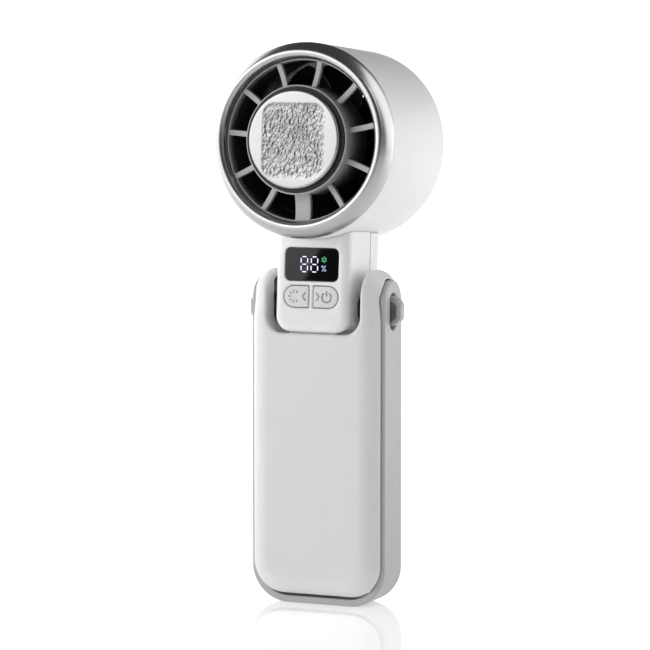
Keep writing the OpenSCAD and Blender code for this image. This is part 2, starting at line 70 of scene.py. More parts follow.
HANDLE_HALF = box_mm("side_frame")[1][0]
FRAME_HALF_D = box_mm("side_frame")[1][1]
FRAME_TOP = box_mm("side_frame")[1][2]
SHELL_HALF = box_mm("handle_front_shell")[1][0]
SHELL_LOW = box_mm("handle_front_shell")[0][2]
ARM_TOP = box_mm("handle_front_shell")[1][2]
HANDLE_HALF_D = box_mm("handle_rear_shell")[1][1]
NECK_HALF = box_mm("neck_front_shell")[1][0]
ARCH_Z = FRAME_TOP - FRAME_HALF_D

FRAME_WALL = 2.5
WALL = 1.8
GAP = 0.1
PANEL_GROOVE = 0.35
OPEN_TOP = 160
SLOT_HALF = 18.0
SLOT_WALL_END = -5.4
SEAT_HALF = NECK_HALF + 0.3
SLOT_FLOOR = 97.3
REAR_FLOOR = 90.2
SLOT_R = 6.5
NECK_FRONT = 14.15
NECK_BACK = 14.6
NECK_BASE = 97.2
NECK_SEAM = 4.8
BARREL_R = 14.1
HEAD_R = 34.3
DUCT_R = 28.6
HUB_R = 19.1


def to_head(points):
    """Turns points drawn with the head upright into the frame, where the head leans back."""
    p = np.asarray(points, dtype=float)
    y, z = p[..., 1], p[..., 2] - PIVOT_Z
    c, s = math.cos(LEAN), math.sin(LEAN)
    return np.stack([p[..., 0], y * c + z * s, z * c - y * s + PIVOT_Z], axis=-1)


# ---- Meshes ----

def new_object(name, vertices, faces, smooth=True):
    """A mesh object from points in millimetres."""
    mesh = bpy.data.meshes.new(name)
    mesh.from_pydata((np.asarray(vertices, dtype=float) * MM).tolist(), [], [list(f) for f in faces])
    obj = bpy.data.objects.new(name, mesh)
    bpy.context.scene.collection.objects.link(obj)
    mesh.polygons.foreach_set("use_smooth", [smooth] * len(mesh.polygons))
    mesh.update()
    return obj


def finish_piece(obj, body, material, nodes=()):
    """Gives a piece its material and its body, and hides the CAD nodes that it stands for."""
    obj.data.materials.clear()
    obj.data.materials.append(material)
    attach(obj, body)
    if nodes:
        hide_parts(*nodes)
    return obj


def joined(name, parts):
    """One mesh from several lists of (vertices, faces)."""
    vertices, faces = [], []
    for part_vertices, part_faces in parts:
        base = len(vertices)
        vertices.extend(np.asarray(part_vertices).tolist())
        faces.extend([[base + i for i in face] for face in part_faces])
    return new_object(name, vertices, faces)


def outward(obj):
    """Makes the faces of a closed mesh point outwards."""
    mesh = bmesh.new()
    mesh.from_mesh(obj.data)
    bmesh.ops.recalc_face_normals(mesh, faces=mesh.faces)
    mesh.to_mesh(obj.data)
    mesh.free()
    return obj


def bevel(obj, width, segments=3, angle=35):
    """Rounds the sharp edges of a piece and evens its shading."""
    rounding = obj.modifiers.new("rounding", "BEVEL")
    rounding.width = width * MM
    rounding.segments = segments
    rounding.limit_method = "ANGLE"
    rounding.angle_limit = math.radians(angle)
    obj.modifiers.new("even_shading", "WEIGHTED_NORMAL")


def arc_points(centre, radius, start, end, steps):
    """Points on an arc, angles in degrees."""
    angles = np.radians(np.linspace(start, end, steps + 1))
    return [(centre[0] + radius * math.cos(a), centre[1] + radius * math.sin(a)) for a in angles]


def lathe_data(profile, segments=160, shape=None):
    """A closed [radius, depth] outline turned about the head axis, as vertices and faces."""
    outline = [tuple(p) for p in profile]
    count = len(outline)
    vertices = []
    for i in range(segments):
        a = 2 * math.pi * i / segments
        for r, y in outline:
            vertices.append((r * math.sin(a), y, HEAD_Z + r * math.cos(a)))
    faces = []
    for i in range(segments):
        j = (i + 1) % segments
        for k in range(count):
            m = (k + 1) % count
            faces.append((i * count + k, i * count + m, j * count + m, j * count + k))
    if shape:
        vertices = shape(vertices)
    return to_head(vertices), faces


def lathe(name, profile, segments=160, shape=None):
    """A ring-shaped piece about the head axis. A profile that reaches the axis closes there."""
    obj = new_object(name, *lathe_data(profile, segments, shape))
    mesh = bmesh.new()
    mesh.from_mesh(obj.data)
    bmesh.ops.remove_doubles(mesh, verts=mesh.verts, dist=1e-7)
    bmesh.ops.recalc_face_normals(mesh, faces=mesh.faces)
    mesh.to_mesh(obj.data)
    mesh.free()
    return obj


# ---- Solids from distance functions, in millimetres ----

def rect(a, b, a0, a1, b0, b1, low_r, high_r=None):
    """Distance to a rectangle with round corners; the corners at low b and at high b can differ."""
    r = low_r if high_r is None else np.where(b < (b0 + b1) / 2, low_r, high_r)
    qa = np.abs(a - (a0 + a1) / 2) - (a1 - a0) / 2 + r
    qb = np.abs(b - (b0 + b1) / 2) - (b1 - b0) / 2 + r
    return np.minimum(np.maximum(qa, qb), 0) + np.hypot(np.maximum(qa, 0), np.maximum(qb, 0)) - r


def meet(a, b, r):
    """What two solids share, with edges rounded to radius r."""
    return np.minimum(-r, np.maximum(a, b)) + np.hypot(np.maximum(a + r, 0), np.maximum(b + r, 0))


def blend_in(a, b, r):
    """Two solids joined, with the inner corner rounded to radius r."""
    return np.maximum(r, np.minimum(a, b)) - np.hypot(np.maximum(r - a, 0), np.maximum(r - b, 0))


def smooth_step(t):
    """Rises from 0 to 1 with level ends."""
    t = np.clip(t, 0, 1)
    return t * t * (3 - 2 * t)


def solid(name, distance, low, high, cell, place=None):
    """Meshes the surface where distance(x, y, z) is zero, with vertices drawn onto it."""
    cell = np.ones(3) * cell
    low = np.array(low, dtype=float) - 2 * cell
    size = np.ceil((np.array(high, dtype=float) + 2 * cell - low) / cell).astype(int) + 1
    grids = np.meshgrid(*[low[i] + cell[i] * np.arange(size[i]) for i in range(3)], indexing="ij")
    value = distance(*grids)
    inside = value < 0
    corners = list(product((0, 1), repeat=3))
    near = [inside[i:i + size[0] - 1, j:j + size[1] - 1, k:k + size[2] - 1] for i, j, k in corners]
    active = np.logical_or.reduce(near) & ~np.logical_and.reduce(near)
    number = np.full(active.shape, -1)
    number[active] = np.arange(active.sum())
    cells = np.argwhere(active)
    total = np.zeros((len(cells), 3))
    crossings = np.zeros(len(cells))
    for a, b in product(corners, corners):
        if sum(abs(p - q) for p, q in zip(a, b)) != 1 or a > b:
            continue
        ca, cb = cells + a, cells + b
        va, vb = value[tuple(ca.T)], value[tuple(cb.T)]
        cut = (va < 0) != (vb < 0)
        t = np.where(cut, va / np.where(cut, va - vb, 1), 0)[:, None]
        total[cut] += (ca + t * (cb - ca))[cut]
        crossings[cut] += 1
    points = low + cell * total / crossings[:, None]
    step = 0.02
    for _ in range(4):
        d = distance(*points.T)
        slope = np.stack([
            (distance(*(points + step * e).T) - distance(*(points - step * e).T)) / (2 * step)
            for e in np.eye(3)], axis=1)
        move = d[:, None] * slope / np.maximum((slope ** 2).sum(1), 0.25)[:, None]
        points -= np.clip(move, -cell / 2, cell / 2)
    faces = []
    for axis in range(3):
        u, v = [i for i in range(3) if i != axis]
        here = [slice(1, -1)] * 3
        there = [slice(1, -1)] * 3
        here[axis], there[axis] = slice(0, -1), slice(1, None)
        start = np.argwhere(inside[tuple(here)] != inside[tuple(there)])
        start += np.array([0 if i == axis else 1 for i in range(3)])
        eu, ev = np.eye(3, dtype=int)[u], np.eye(3, dtype=int)[v]
        ring = np.stack([number[tuple((start - o).T)] for o in (0 * eu, eu, eu + ev, ev)], axis=1)
        flip = inside[tuple(start.T)] == (axis != 1)
        ring[flip] = ring[flip][:, ::-1]
        faces.append(ring)
    faces = np.concatenate(faces)
    if place is not None:
        points = place(points)
    return new_object(name, points, faces.tolist())


# ---- Materials ----

def shader(name, base, roughness, metallic=0.0, specular=0.5):
    """A Principled material and its node tools."""
    material = bpy.data.materials.new(name)
    material.use_nodes = True
    nodes, links = material.node_tree.nodes, material.node_tree.links
    surface = nodes["Principled BSDF"]
    surface.inputs["Base Color"].default_value = (*base, 1)
    surface.inputs["Roughness"].default_value = roughness
    surface.inputs["Metallic"].default_value = metallic
    surface.inputs["Specular IOR Level"].default_value = specular
    return material, nodes, links, surface


def place_coordinates(nodes, links, stretch=(1, 1, 1)):
    """Object coordinates, stretched for grain that runs one way."""
    coordinates = nodes.new("ShaderNodeTexCoord")
    mapping = nodes.new("ShaderNodeMapping")
    mapping.inputs["Scale"].default_value = stretch
    links.new(coordinates.outputs["Object"], mapping.inputs["Vector"])
    return mapping.outputs["Vector"]


def grain(nodes, links, vector, size, detail=3.0):
    """Noise whose blobs are about size millimetres across."""
    texture = nodes.new("ShaderNodeTexNoise")
    texture.inputs["Scale"].default_value = 1 / (size * MM)
    texture.inputs["Detail"].default_value = detail
    links.new(vector, texture.inputs["Vector"])
    return texture.outputs["Fac"]


def spread(nodes, links, value, low, high):
    """Maps a noise value from its usual span onto low to high."""
    span = nodes.new("ShaderNodeMapRange")
    span.inputs["From Min"].default_value = 0.25
    span.inputs["From Max"].default_value = 0.75
    span.inputs["To Min"].default_value = low
    span.inputs["To Max"].default_value = high
    links.new(value, span.inputs["Value"])
    return span.outputs["Result"]


def tint(nodes, links, value, dark, light):
    """A colour between dark and light."""
    mix = nodes.new("ShaderNodeMix")
    mix.data_type = "RGBA"
    mix.inputs["A"].default_value = (*dark, 1)
    mix.inputs["B"].default_value = (*light, 1)
    links.new(value, mix.inputs["Factor"])
    return mix.outputs["Result"]


def relief(nodes, links, surface, height, strength, depth):
    """Bump of depth millimetres."""
    bump = nodes.new("ShaderNodeBump")
    bump.inputs["Strength"].default_value = strength
    bump.inputs["Distance"].default_value = depth * MM
    links.new(height, bump.inputs["Height"])
    links.new(bump.outputs["Normal"], surface.inputs["Normal"])


def moulded(name, base, roughness=0.42, texture=0.35, depth=0.02, variation=0.03, specular=0.45):
    """Moulded plastic: spark-eroded grain, faint cloudiness and uneven gloss."""
    material, nodes, links, surface = shader(name, base, roughness, 0.0, specular)
    place = place_coordinates(nodes, links)
    fine = grain(nodes, links, place, texture, 2.0)
    cloud = grain(nodes, links, place, 14.0, 2.0)
    dark = tuple(c * (1 - variation) for c in base)
    light = tuple(min(1, c * (1 + variation)) for c in base)
    links.new(tint(nodes, links, spread(nodes, links, cloud, 0, 1), dark, light), surface.inputs["Base Color"])
    links.new(spread(nodes, links, fine, roughness * 0.88, roughness * 1.17), surface.inputs["Roughness"])
    relief(nodes, links, surface, fine, 0.35, depth)
    return material


def metal(name, base, roughness, stretch=(1, 1, 1), streak=0.4, depth=0.01, variation=0.05, spread_by=0.08):
    """Metal with fine streaks along its finishing direction."""
    material, nodes, links, surface = shader(name, base, roughness, 1.0)
    streaks = grain(nodes, links, place_coordinates(nodes, links, stretch), streak, 4.0)
    cloud = grain(nodes, links, place_coordinates(nodes, links), 9.0, 2.0)
    dark = tuple(c * (1 - variation) for c in base)
    light = tuple(min(1, c * (1 + variation)) for c in base)
    links.new(tint(nodes, links, spread(nodes, links, cloud, 0, 1), dark, light), surface.inputs["Base Color"])
    links.new(spread(nodes, links, streaks, roughness - spread_by / 2, roughness + spread_by),
              surface.inputs["Roughness"])
    relief(nodes, links, surface, streaks, 0.3, depth)
    return material


def glowing(name, colour, strength):
    """A lit display segment with slightly uneven light."""
    material, nodes, links, surface = shader(name, colour, 0.5)
    unevenness = grain(nodes, links, place_coordinates(nodes, links), 0.6, 2.0)
    low = tuple(c * 0.8 for c in colour)
    lit = tint(nodes, links, spread(nodes, links, unevenness, 0, 1), low, colour)
    links.new(lit, surface.inputs["Emission Color"])
    links.new(lit, surface.inputs["Base Color"])
    surface.inputs["Emission Strength"].default_value = strength
    return material


# The handle's shells are the head's white plastic with a darker base colour, which stands in for the shade on
# the handle: painted shade.
SHADED_SHELL = moulded("shell_plastic_painted_shade_look", (0.74, 0.74, 0.73), 0.4, 0.3, 0.015, 0.012)
HEAD = moulded("head_plastic_look", (0.82, 0.82, 0.81), 0.36, 0.3, 0.012, 0.01)
KEY = moulded("button_plastic_look", (0.7, 0.695, 0.685), 0.45, 0.2, 0.02, 0.03)
FRAME = moulded("frame_plastic_look", (0.44, 0.443, 0.446), 0.38, 0.25, 0.015, 0.03)
BLACK = moulded("black_plastic_look", (0.012, 0.012, 0.013), 0.42, 0.3, 0.02, 0.15)
BLADE = moulded("impeller_plastic_look", (0.016, 0.016, 0.018), 0.28, 0.5, 0.01, 0.2)
GRILLE = moulded("grille_plastic_look", (0.43, 0.432, 0.435), 0.34, 0.3, 0.012, 0.05)
# The raised button marks get a darker grey that stands in for the shade round their relief: painted shade.
SHADED_ICON = moulded("button_mark_painted_shade_look", (0.29, 0.286, 0.282), 0.45, 0.2, 0.01, 0.05)
GLASS = moulded("window_glass_look", (0.002, 0.002, 0.0025), 0.025, 2.0, 0.0003, 0.3, 0.5)
RUBBER = moulded("gasket_rubber_look", (0.012, 0.012, 0.012), 0.6, 0.2, 0.03, 0.15)
BOARD = moulded("board_look", (0.02, 0.1, 0.05), 0.35, 0.6, 0.02, 0.2)
CELL = moulded("cell_wrap_look", (0.03, 0.14, 0.3), 0.25, 1.2, 0.02, 0.1)
FOAM = moulded("foam_look", (0.02, 0.02, 0.022), 0.9, 0.5, 0.15, 0.3)
FILM = moulded("cable_film_look", (0.42, 0.17, 0.03), 0.25, 0.8, 0.01, 0.12)
CERAMIC = moulded("cooler_ceramic_look", (0.7, 0.7, 0.66), 0.5, 0.15, 0.02, 0.03)
BEZEL = metal("bezel_silver_look", (0.48, 0.482, 0.485), 0.28, (1, 1, 1), 0.25, 0.003, 0.02, 0.06)
PLATE = metal("plate_aluminium_look", (0.44, 0.444, 0.448), 0.32, (0.25, 1, 3), 0.3, 0.006, 0.03, 0.1)
HAMMERED = metal("plate_hammered_look", (0.3, 0.302, 0.305), 0.25, (1, 1, 1), 0.7, 0.02, 0.2, 0.1)
SINK = metal("sink_aluminium_look", (0.72, 0.73, 0.74), 0.35, (1, 6, 1), 0.4, 0.01)
STEEL = metal("pin_steel_look", (0.6, 0.61, 0.63), 0.25, (1, 1, 1), 0.3, 0.006)
SPRING = metal("washer_steel_look", (0.1, 0.1, 0.105), 0.38, (1, 1, 1), 0.3, 0.006)
NICKEL = metal("tab_nickel_look", (0.66, 0.63, 0.56), 0.3, (4, 1, 1), 0.3, 0.006)
COPPER = metal("coil_copper_look", (0.65, 0.26, 0.1), 0.32, (1, 8, 1), 0.25, 0.03, 0.12)
DIGIT = glowing("digit_light_look", (0.72, 0.73, 0.95), 0.85)
FLAKE = glowing("cooling_light_look", (0.1, 0.62, 0.26), 0.5)
PERCENT = glowing("percent_light_look", (0.36, 0.44, 0.75), 0.7)

CAD_LOOKS = {
    BLACK: ["hinge_yoke", "hinge_bush_left", "hinge_bush_right", "button_switches", "board_parts",
            "display_module", "motor_mount"],
    STEEL: ["hinge_pin_left", "hinge_pin_right", "handle_screws", "neck_screws",
            "head_screws", "motor_bearings", "rotor_cup", "motor_shaft", "charge_port", "motor_stator",
            "rotor_magnets"],
    SPRING: ["friction_washers"],
    CELL: ["battery_cells"],
    NICKEL: ["battery_tabs"],
    FOAM: ["battery_foam"],
    BOARD: ["main_board", "charge_board", "control_board", "motor_board"],
    SINK: ["heat_sink"],
    RUBBER: ["plate_gasket"],
    CERAMIC: ["cooling_module"],
    FILM: ["plate_cable"],
    COPPER: ["motor_windings"],
}


def dress_cad_nodes():
    """Gives the CAD nodes that stay their materials, fine edge rounding and even shading."""
    for material, names in CAD_LOOKS.items():
        for name in names:
            node = frame["nodes"][name]
            node.data.materials.clear()
            node.data.materials.append(material)
            bevel(node, 0.12, 2, 40)


# ---- Handle ----

SHELL_CORNER, ARM_CORNER = 12.5, 8.5
PILLOW, PILLOW_GROWTH = 8.1, 2.4
SCREW_PLACES = [(17, 83), (15, 11)]
SCREW_SEAT = 10.2
BOSS_R, SCREW_HEAD_R, SCREW_HOLE_R = 2.8, 2.1, 1.15
PORT = (-4.8, 4.8, 6.45, 10.35)
PORT_R, PORT_DEPTH_Y = 1.9, 9.5
BAND_TOP, BAND_CORNER, BAND_INNER_CORNER = 140, 13.5, 11.5
STRAP_WINDOW = (-3.1, 3.1, 98.6, 111.7)
STRAP_PLATE = (-4.6, 4.6, 97.2, 113.1)
STRAP_Z = 105.4
STRAP_LOWER = [(-0.4, -4.7), (2.5, -4.3), (4.4, -3.2), (5.12, -2.2)]
STRAP_PATH = STRAP_LOWER + [(out, -height) for out, height in reversed(STRAP_LOWER)]
STRAP_HALF = 0.93


def arch(y, z, r):
    """Distance to the side view of the frame: a strip with a round top."""
    return np.where(z < ARCH_Z, np.abs(y), np.hypot(y, z - ARCH_Z)) - r


def handle_body(x, y, z):
    """The pillow-sided block that both shells are cut from, rounder over the top of the arms."""
    outline = rect(x, z, -SHELL_HALF, SHELL_HALF, SHELL_LOW, ARM_TOP, SHELL_CORNER, ARM_CORNER)
    return meet(outline, np.abs(y) - HANDLE_HALF_D, PILLOW + PILLOW_GROWTH * smooth_step((z - 100) / 15))


def hollowed(shell, body, opening, lip):
    """Cuts the slot with a rounded lip and hollows the shell, leaving a wall along the slot."""
    cavity = np.maximum(body + WALL, WALL - opening)
    return np.maximum(meet(shell, -opening, lip), -cavity)


def front_shell(x, y, z):
    """The front half of the handle, with the fork's slot, the seat of the barrel and a groove at the band."""
    body = handle_body(x, y, z)
    slot = rect(x, z, -SLOT_HALF, SLOT_HALF, SLOT_FLOOR, OPEN_TOP, SLOT_R)
    seat = np.maximum(np.hypot(y, z - PIVOT_Z) - BARREL_R - 0.5, np.abs(x) - SEAT_HALF)
    opening = np.minimum(slot, seat)
    shell = meet(body, -arch(y, z, FRAME_HALF_D + PANEL_GROOVE), 0.6)
    shell = hollowed(meet(shell, y - FRAME_HALF_D, 0.3), body, opening, 1.3)
    lining = np.maximum(meet(body, -opening, 1.3), np.maximum(y - SLOT_WALL_END, slot - WALL))
    return np.minimum(shell, lining)


def rear_shell(x, y, z):
    """The back of the handle, with its slot, four screw bosses and the charging port."""
    body = handle_body(x, y, z)
    opening = rect(x, z, -SLOT_HALF, SLOT_HALF, REAR_FLOOR, OPEN_TOP, 3.0)
    shell = hollowed(meet(body, FRAME_HALF_D + GAP - y, 0.5), body, opening, 0.8)
    for place_x, place_z in SCREW_PLACES:
        across = np.hypot(np.abs(x) - place_x, z - place_z)
        boss = np.maximum(np.maximum(across - BOSS_R, FRAME_HALF_D + GAP - y), body)
        shell = np.minimum(shell, boss)
        shell = meet(shell, -np.maximum(across - SCREW_HEAD_R, SCREW_SEAT - y), 0.3)
        shell = np.maximum(shell, SCREW_HOLE_R - across)
    port = np.maximum(rect(x, z, *PORT, PORT_R), PORT_DEPTH_Y - y)
    return meet(shell, -port, 0.35)


def frame_band(x, y, z):
    """The band round the edge of the handle, with soft shoulders and two strap windows."""
    half = HANDLE_HALF - FRAME_WALL
    outer = rect(x, z, -HANDLE_HALF, HANDLE_HALF, 0, BAND_TOP, BAND_CORNER, 3)
    inner = rect(x, z, -half, half, FRAME_WALL, BAND_TOP, BAND_INNER_CORNER, 3)
    band = meet(meet(outer, arch(y, z, FRAME_HALF_D), 0.5), -inner, 0.3)
    window = np.maximum(rect(y, z, *STRAP_WINDOW, 3.0), 20 - np.abs(x))
    return meet(band, -window, 0.4)


def stroke(a, b, points, half):
    """Distance to a line drawn through points, half wide on each side."""
    nearest = np.full(np.shape(a), 1e9)
    for (a0, b0), (a1, b1) in zip(points, points[1:]):
        da, db = a1 - a0, b1 - b0
        t = np.clip(((a - a0) * da + (b - b0) * db) / (da * da + db * db), 0, 1)
        nearest = np.minimum(nearest, np.hypot(a - a0 - t * da, b - b0 - t * db))
    return nearest - half


def strap_bar(x, y, z):
    """A bowed bar outside the strap window, on a plate inside the frame."""
    side = np.abs(x) - (HANDLE_HALF - FRAME_WALL)
    bow = meet(stroke(side, z - STRAP_Z, STRAP_PATH, STRAP_HALF), np.abs(y) - 2, 0.6)
    plate = np.maximum(rect(y, z, *STRAP_PLATE, 1.5), np.abs(side + 0.825) - 0.775)
    return blend_in(bow, plate, 0.5)


def make_handle():
    front = solid("handle_front_panel", front_shell, [-SHELL_HALF, -HANDLE_HALF_D, SHELL_LOW],
                  [SHELL_HALF, FRAME_HALF_D, ARM_TOP], (0.55, 0.32, 0.38))
    finish_piece(front, "handle", SHADED_SHELL, ["handle_front_shell"])
    rear = solid("handle_rear_panel", rear_shell, [-SHELL_HALF, FRAME_HALF_D, SHELL_LOW],
                 [SHELL_HALF, HANDLE_HALF_D, ARM_TOP], (0.6, 0.42, 0.5))
    finish_piece(rear, "handle", SHADED_SHELL, ["handle_rear_shell"])
    band = solid("handle_side_band", frame_band, [-HANDLE_HALF, -FRAME_HALF_D, 0],
                 [HANDLE_HALF, FRAME_HALF_D, FRAME_TOP], (0.4, 0.34, 0.4))
    finish_piece(band, "handle", FRAME, ["side_frame"])
    for name in ("left", "right"):
        low, high = box_mm("strap_bar_" + name)
        bar = solid("strap_loop_" + name, strap_bar, low, high, 0.3)
        finish_piece(bar, "handle", FRAME, ["strap_bar_" + name])


# ---- Neck, in the upright head's frame ----

WINDOW = (-10.35, 10.35, 115.15, 127.05)
PILL = (-10.3, 10.3, 106.0, 113.5)
PILL_R = 3.7
PILL_SPLIT = 0.95
BUTTON_GAP = 0.28
BUTTON_PROUD = 0.15
GLASS_SUNK = 0.05
SUN_CENTRE, POWER_CENTRE, CHEVRON_Z = (-6.3, 109.75), (6.1, 109.65), 109.75
FLAKE_CENTRE = (4.75, 122.9)
MARK_WIDTH = 0.58
DIGIT_BOXES = [(-4.1, -1.6, 118.5, 123.8), (-0.2, 2.3, 118.5, 123.8)]


def neck_body(x, y, z):
    """The soft-edged neck box with its barrel round the hinge axis."""
    outline = rect(x, z, -NECK_HALF, NECK_HALF, NECK_BASE, OPEN_TOP, 5.5)
    back = np.hypot(np.maximum(y, 0), np.maximum(PIVOT_Z - z, 0)) - NECK_BACK
    box = meet(outline, np.maximum(-NECK_FRONT - y, back), 3.0)
    barrel = meet(np.hypot(y, z - PIVOT_Z) - BARREL_R, np.abs(x) - (NECK_HALF - 5), 1.0)
    return np.minimum(box, barrel)


def button_hole(x, z, grow):
    """Distance to the nearer half of the pill; it has both halves, for it takes x without its sign."""
    a0, a1, b0, b1 = PILL
    pill = rect(x, z, a0 - grow, a1 + grow, b0 - grow, b1 + grow, PILL_R + grow)
    return meet(pill, PILL_SPLIT - grow - np.abs(x), 0.3)


def neck_hollow(x, y, z):
    """The neck hollowed, with a bridge above the display, and cut off along the head's drum."""
    body = neck_body(x, y, z)
    bridge = np.abs(z - 128.9) - 1
    room = np.maximum(body + WALL, -bridge)
    head = HEAD_R + 0.02 - np.hypot(x, z - HEAD_Z)
    return np.maximum(np.maximum(body, -room), head)


def neck_front(x, y, z):
    """The front of the neck, with the display's seat and opening and the holes for buttons and bushes."""
    shell = meet(neck_hollow(x, y, z), y - NECK_SEAM + 0.02, 0.25)
    seat = np.maximum(rect(x, z, *WINDOW, 2.2), y + NECK_FRONT - 1.15)
    through = np.maximum(rect(x, z, -9.3, 9.3, 116.2, 126.0, 1.5), y + NECK_FRONT - 3)
    shell = np.maximum(meet(shell, -seat, 0.12), -through)
    buttons = np.maximum(button_hole(x, z, BUTTON_GAP), y + NECK_FRONT - 3)
    shell = meet(shell, -buttons, 0.45)
    bush = np.hypot(y, z - PIVOT_Z) - 4.4
    return np.maximum(shell, -bush)


def neck_rear(x, y, z):
    """The back of the neck, behind the seam."""
    return meet(neck_hollow(x, y, z), NECK_SEAM + 0.02 - y, 0.25)


def button_cap(x, y, z):
    """A cap with a softened, slightly crowned face and a flange behind the wall."""
    crown = 0.12 * smooth_step(-button_hole(x, z, 0) / 2.4)
    cap = meet(button_hole(x, z, 0), np.maximum(-NECK_FRONT - 0.03 - crown - y, y + 12.2), 0.45)
    flange = np.maximum(button_hole(x, z, 0.7), np.abs(y + 12.02) - 0.27)
    return np.minimum(cap, flange)


def plate_data(outline, y0, y1):
    """An outline in X and Z given a thickness along Y, as vertices and faces."""
    count = len(outline)
    vertices = [(a, y, b) for y in (y0, y1) for a, b in outline]
    faces = [list(range(count)), list(range(2 * count - 1, count - 1, -1))]
    faces += [[i, count + i, count + (i + 1) % count, (i + 1) % count] for i in range(count)]
    return to_head(vertices), faces


def rounded_outline(a0, a1, b0, b1, r, steps=6):
    """Points round a rectangle with round corners."""
    points = []
    centres = ((a1 - r, b1 - r), (a0 + r, b1 - r), (a0 + r, b0 + r), (a1 - r, b0 + r))
    for i, centre in enumerate(centres):
        points += arc_points(centre, r, 90 * i, 90 * i + 90, steps)
    return points


def bar_outline(start, end, width):
    """A straight stroke between two points."""
    (a0, b0), (a1, b1) = start, end
    length = math.hypot(a1 - a0, b1 - b0)
    na, nb = (b0 - b1) / length * width / 2, (a1 - a0) / length * width / 2
    return [(a0 + na, b0 + nb), (a1 + na, b1 + nb), (a1 - na, b1 - nb), (a0 - na, b0 - nb)]


def ring_outline(centre, radius, start, end, width, steps=20):
    """An arc-shaped stroke."""
    return (arc_points(centre, radius + width / 2, start, end, steps)
            + arc_points(centre, radius - width / 2, end, start, steps))


def marks(name, outlines, y0, y1, body, material):
    """Small raised strokes joined in one piece."""
    piece = outward(joined(name, [plate_data(outline, y0, y1) for outline in outlines]))
    for polygon in piece.data.polygons:
        polygon.use_smooth = False
    finish_piece(piece, body, material)


SEGMENTS = {
    "top": [(0.2, 1), (0.8, 1)], "middle": [(0.2, 0.5), (0.8, 0.5)], "bottom": [(0.2, 0), (0.8, 0)],
    "high_left": [(0, 0.6), (0, 0.9)], "high_right": [(1, 0.6), (1, 0.9)],
    "low_left": [(0, 0.1), (0, 0.4)], "low_right": [(1, 0.1), (1, 0.4)],
}


def digit_outlines(a0, a1, b0, b1, width=0.36):
    """The seven lit strokes of a digit."""
    outlines = []
    for ends in SEGMENTS.values():
        start, end = [(a0 + (a1 - a0) * u, b0 + (b1 - b0) * v) for u, v in ends]
        outlines.append(bar_outline(start, end, width))
    return outlines


def star_outlines(centre, inner, outer, count, width, first=90):
    """Strokes that point outwards from a centre."""
    outlines = []
    for i in range(count):
        a = math.radians(first + i * 360 / count)
        ends = [(centre[0] + r * math.cos(a), centre[1] + r * math.sin(a)) for r in (inner, outer)]
        outlines.append(bar_outline(*ends, width))
    return outlines


def make_neck():
    low, high = [-NECK_HALF, -NECK_FRONT, PIVOT_Z - NECK_BACK], [NECK_HALF, NECK_SEAM, HEAD_Z - 28]
    front = solid("neck_front_cover", neck_front, low, high, 0.4, to_head)
    finish_piece(front, "head", HEAD, ["neck_front_shell"])
    low, high = [-NECK_HALF, NECK_SEAM, PIVOT_Z - NECK_BACK], [NECK_HALF, NECK_BACK, HEAD_Z - 28]
    rear = solid("neck_rear_cover", neck_rear, low, high, 0.5, to_head)
    finish_piece(rear, "head", HEAD, ["neck_rear_shell"])
    window = new_object("display_glass", *plate_data(rounded_outline(-10.28, 10.28, 115.22, 126.98, 2.13),
                                                     -NECK_FRONT + GLASS_SUNK, -NECK_FRONT + 1.15))
    finish_piece(outward(window), "head", GLASS, ["display_window"])
    bevel(window, 0.25, 3)
    glass = -NECK_FRONT + GLASS_SUNK
    digits = [outline for box in DIGIT_BOXES for outline in digit_outlines(*box)]
    marks("display_digits", digits, glass - 0.03, glass + 0.05, "head", DIGIT)
    flake = star_outlines(FLAKE_CENTRE, 0.3, 1.15, 6, 0.15)
    flake.append(ring_outline(FLAKE_CENTRE, 0.75, 0, 350, 0.12, 18))
    marks("display_cooling_sign", flake, glass - 0.03, glass + 0.05, "head", FLAKE)
    percent = [bar_outline((4.05, 118.8), (5.35, 120.8), 0.28)]
    percent += [ring_outline(c, 0.3, 0, 350, 0.2, 12) for c in ((4.15, 120.45), (5.25, 119.15))]
    marks("display_percent_sign", percent, glass - 0.03, glass + 0.05, "head", PERCENT)


def chevron(side):
    """An arrow head beside the split of the pill, pointing outwards on that side."""
    tip, tail = 3.2 * side, 2.1 * side
    upper = bar_outline((tail, CHEVRON_Z + 1.45), (tip, CHEVRON_Z), MARK_WIDTH)
    return [upper, bar_outline((tip, CHEVRON_Z), (tail, CHEVRON_Z - 1.45), MARK_WIDTH)]


def make_buttons():
    """Two caps with raised marks. Each cap's grid also catches a thin strip of the other's flange."""
    flange_y = -11.75
    for side, name in ((-1, "left"), (1, "right")):
        low = [min(side * 0.2, side * 11), -NECK_FRONT - BUTTON_PROUD, PILL[2] - 0.7]
        high = [max(side * 0.2, side * 11), flange_y, PILL[3] + 0.7]
        cap = solid(name + "_button_cap", button_cap, low, high, 0.25, to_head)
        finish_piece(cap, name + "_key", KEY, [name + "_button"])
    face, sunk = -NECK_FRONT - BUTTON_PROUD, -NECK_FRONT + 0.1
    # The raised marks are drawn in a darker grey that stands in for the shade round their relief: painted
    # shade.
    sun = star_outlines(SUN_CENTRE, 1.3, 2.4, 9, 0.52, 60)[:7] + chevron(-1)
    marks("left_button_marks", sun, face, sunk, "left_key", SHADED_ICON)
    x, z = POWER_CENTRE
    power = [ring_outline(POWER_CENTRE, 1.75, 125, 415, 0.62, 28)]
    power += [bar_outline((x, z + 0.35), (x, z + 2.25), 0.6)] + chevron(1)
    marks("right_button_marks", power, face, sunk, "right_key", SHADED_ICON)


# ---- Head ----

